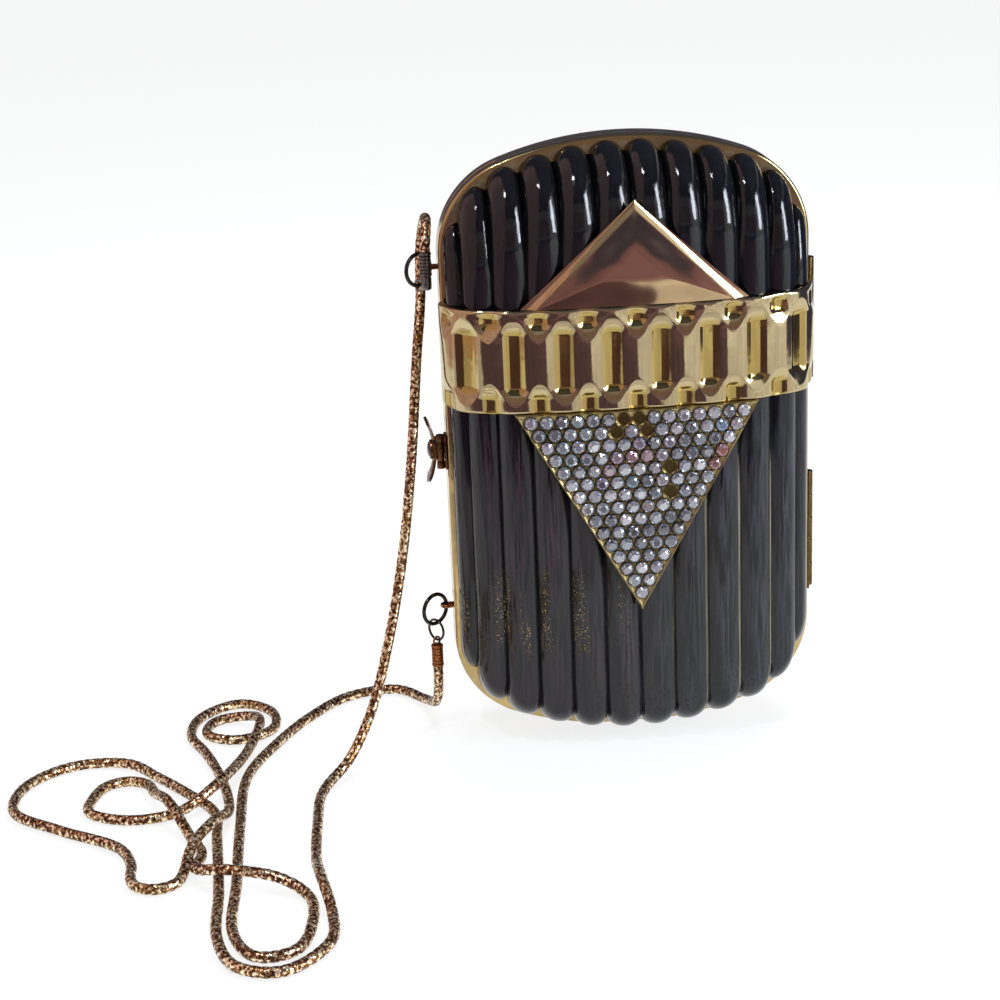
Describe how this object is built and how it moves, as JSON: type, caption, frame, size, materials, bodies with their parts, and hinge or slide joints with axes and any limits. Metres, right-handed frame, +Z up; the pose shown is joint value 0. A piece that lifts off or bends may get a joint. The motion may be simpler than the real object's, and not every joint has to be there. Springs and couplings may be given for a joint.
{
  "type": "minaudiere",
  "caption": "Upright hard evening case with fluted black shells in gold frames, a stone-set front, side hinges, snap clasp and woven shoulder strap.",
  "frame": {"origin": "middle of the flat foot at the lower end of the frames, on the parting plane between front and back", "axes": "+Z up along the case, +X to the hinged side, -Y to the decorated front"},
  "size_m": [0.2256, 0.1617, 0.1675],
  "materials": {
    "gold_frame": "polished gold-plated brass",
    "black_enamel": "gloss black moulded shell",
    "lining_cloth": "dark woven lining",
    "gold_relief": "polished gold-plated stamping",
    "gold_tray": "dull gold tray",
    "clear_stone": "faceted clear stones",
    "hinge_brass": "worn gold-plated brass",
    "clasp_bronze": "worn gold-plated clasp",
    "spring_steel": "spring strip",
    "dark_stone": "dark round stone",
    "ring_gunmetal": "dark gunmetal wire",
    "cap_copper": "copper-gold end cap",
    "woven_strap": "woven metallised cord"
  },
  "bodies": {
    "back_half": {"back_frame": "gold_frame", "back_shell": "black_enamel", "back_lining": "lining_cloth", "hinge_leaf_back_upper": "hinge_brass", "hinge_leaf_back_lower": "hinge_brass", "hinge_pin_upper": "hinge_brass", "hinge_pin_lower": "hinge_brass", "clasp_catch": "clasp_bronze", "ring_lug_upper": "cap_copper", "ring_lug_lower": "cap_copper", "lower_link": "ring_gunmetal", "end_cap_upper": "ring_gunmetal", "end_cap_lower": "cap_copper", "chain_strap": "woven_strap"},
    "front_half": {"front_frame": "gold_frame", "front_shell": "black_enamel", "front_lining": "lining_cloth", "gold_band": "gold_relief", "crest_plate": "gold_relief", "pave_tray": "gold_tray", "pave_stones": "clear_stone", "hinge_leaf_front_upper": "hinge_brass", "hinge_leaf_front_lower": "hinge_brass", "clasp_bracket": "clasp_bronze", "clasp_pin": "clasp_bronze", "clasp_spring": "spring_steel"},
    "clasp_lever": {"clasp_bow": "clasp_bronze", "clasp_bezel": "clasp_bronze", "clasp_cabochon": "dark_stone"},
    "upper_ring": {"strap_ring_upper": "ring_gunmetal"},
    "lower_ring": {"strap_ring_lower": "ring_gunmetal"}
  },
  "joints": [
    {"name": "case_hinge", "type": "hinge", "parent": "back_half", "child": "front_half", "pos_m": [0.0508, 0, 0.0833], "axis": [0, 0, 1], "range_deg": [0, 100]},
    {"name": "clasp_pivot", "type": "hinge", "parent": "front_half", "child": "clasp_lever", "pos_m": [-0.0517, -0.00265, 0.0833], "axis": [0, 0, 1], "range_deg": [0, 25]},
    {"name": "upper_ring_swing", "type": "hinge", "parent": "back_half", "child": "upper_ring", "pos_m": [-0.0518, 0.00225, 0.1336], "axis": [0, 0, 1], "range_deg": [-6, 6]},
    {"name": "lower_ring_swing", "type": "hinge", "parent": "back_half", "child": "lower_ring", "pos_m": [-0.0518, 0.00225, 0.0366], "axis": [0, 0, 1], "range_deg": [-6, 6]}
  ]
}
